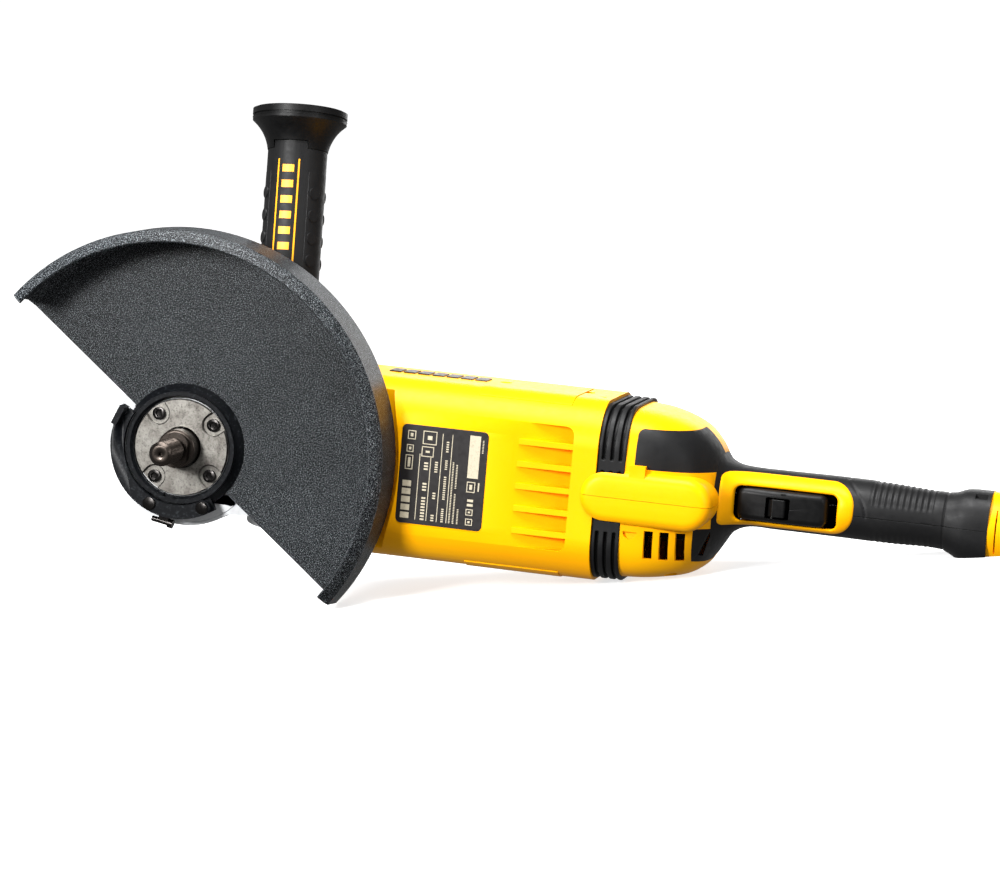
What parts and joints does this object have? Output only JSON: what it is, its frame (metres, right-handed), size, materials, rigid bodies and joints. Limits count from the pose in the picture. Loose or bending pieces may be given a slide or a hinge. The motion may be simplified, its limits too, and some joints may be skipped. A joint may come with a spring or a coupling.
{
  "type": "angle grinder",
  "caption": "Large two-handed angle grinder with a half-round disc guard, threaded disc spindle, side handle, bevel gear drive and a rear handle with trigger and lock-off lever.",
  "frame": {"origin": "spindle axis at the shoulder where the disc thread starts", "axes": "+X along the motor axis towards the rear handle, +Z towards the side handle, the spindle points along -Y; this is how the tool lies on its side"},
  "size_m": [0.5787, 0.1416, 0.2763],
  "materials": {
    "cast_alloy": "bead-blasted casting",
    "screw_steel": "black oxide",
    "bearing_steel": "ground and satin",
    "spindle_steel": "oiled and heat treated",
    "core_steel": "stacked laminations",
    "copper": "varnished copper",
    "brass": "satin",
    "carbon": "sooty",
    "yellow_plastic": "fine moulded texture",
    "black_plastic": "fine moulded texture",
    "soft_grip": "soft-touch",
    "label_foil": "printed foil",
    "stripe_yellow": "printed",
    "guard_coat": "fine-grain black powder coat"
  },
  "bodies": {
    "housing": {"gear_case": "cast_alloy", "gear_case_cover": "cast_alloy", "cover_screws": "screw_steel", "retainer_plate": "bearing_steel", "retainer_screws": "screw_steel", "spindle_seal": "soft_grip", "spindle_bearing": "bearing_steel", "needle_bearing": "bearing_steel", "gear_case_screws": "screw_steel", "motor_housing": "yellow_plastic", "label_plate": "label_foil", "side_badge": "label_foil", "brush_covers": "yellow_plastic", "air_baffle": "black_plastic", "stator_core": "core_steel", "field_coils": "copper", "brush_holders": "brass", "carbon_brushes": "carbon", "brush_springs": "bearing_steel", "front_motor_bearing": "bearing_steel", "rear_motor_bearing": "bearing_steel", "rear_bearing_bracket": "black_plastic", "vibration_ring": "soft_grip", "rear_housing_left": "yellow_plastic", "rear_housing_right": "yellow_plastic", "handle_shell_left": "soft_grip", "handle_shell_right": "soft_grip", "housing_screws": "screw_steel", "trigger_frame": "yellow_plastic", "trigger_pin": "bearing_steel", "switch_module": "black_plastic", "soft_start_module": "black_plastic", "end_cap": "yellow_plastic", "cord_gland": "soft_grip", "cord_clamp": "black_plastic", "side_handle_stud": "bearing_steel", "side_handle_core": "black_plastic", "side_handle_sleeve": "soft_grip", "side_handle_pads": "soft_grip", "side_handle_stripes": "stripe_yellow"},
    "armature": {"armature_shaft": "bearing_steel", "armature_core": "core_steel", "armature_windings": "copper", "commutator": "copper", "cooling_fan": "black_plastic", "pinion": "spindle_steel"},
    "spindle_assembly": {"spindle": "spindle_steel", "ring_gear": "spindle_steel", "gear_circlip": "bearing_steel"},
    "guard": {"guard_shell": "guard_coat", "guard_collar": "guard_coat", "lever_pivot_rivet": "bearing_steel", "guard_clamp_screw": "screw_steel"},
    "release_lever": {"guard_lever": "guard_coat", "lever_pawl": "bearing_steel"},
    "spindle_lock": {"lock_button": "black_plastic", "lock_pin": "bearing_steel"},
    "trigger_body": {"trigger": "black_plastic", "lock_off_pin": "bearing_steel"},
    "lock_off_body": {"lock_off_lever": "black_plastic"}
  },
  "joints": [
    {"name": "armature_spin", "type": "hinge", "parent": "housing", "child": "armature", "pos_m": [0.16, 0.064, 0], "axis": [1, 0, 0], "continuous": true},
    {"name": "spindle_spin", "type": "hinge", "parent": "housing", "child": "spindle_assembly", "pos_m": [0, 0, 0], "axis": [0, 1, 0], "continuous": true},
    {"name": "guard_swing", "type": "hinge", "parent": "housing", "child": "guard", "pos_m": [0, 0.02, 0], "axis": [0, 1, 0], "range_deg": [-90, 90]},
    {"name": "guard_release", "type": "hinge", "parent": "guard", "child": "release_lever", "pos_m": [0.01653, 0.011, -0.03243], "axis": [0, 1, 0], "range_deg": [-6, 0], "stiffness_Nm_per_rad": 0.5, "springref_deg": 11.46},
    {"name": "spindle_lock_press", "type": "slide", "parent": "housing", "child": "spindle_lock", "axis": [0, -1, 0], "range_m": [0, 0.005], "stiffness_N_per_m": 800, "springref_m": -0.003},
    {"name": "trigger_squeeze", "type": "hinge", "parent": "housing", "child": "trigger_body", "pos_m": [0.3175, 0.058, 0], "axis": [0, 0, 1], "range_deg": [0, 6], "stiffness_Nm_per_rad": 3, "springref_deg": -8.59},
    {"name": "lock_off_tilt", "type": "hinge", "parent": "trigger_body", "child": "lock_off_body", "pos_m": [0.334, 0.055, 0], "axis": [0, 0, 1], "range_deg": [0, 20], "stiffness_Nm_per_rad": 0.1, "springref_deg": -14.32}
  ],
  "couplings": [
    {"joint": "spindle_spin", "follows": "armature_spin", "ratio": 0.29412}
  ]
}
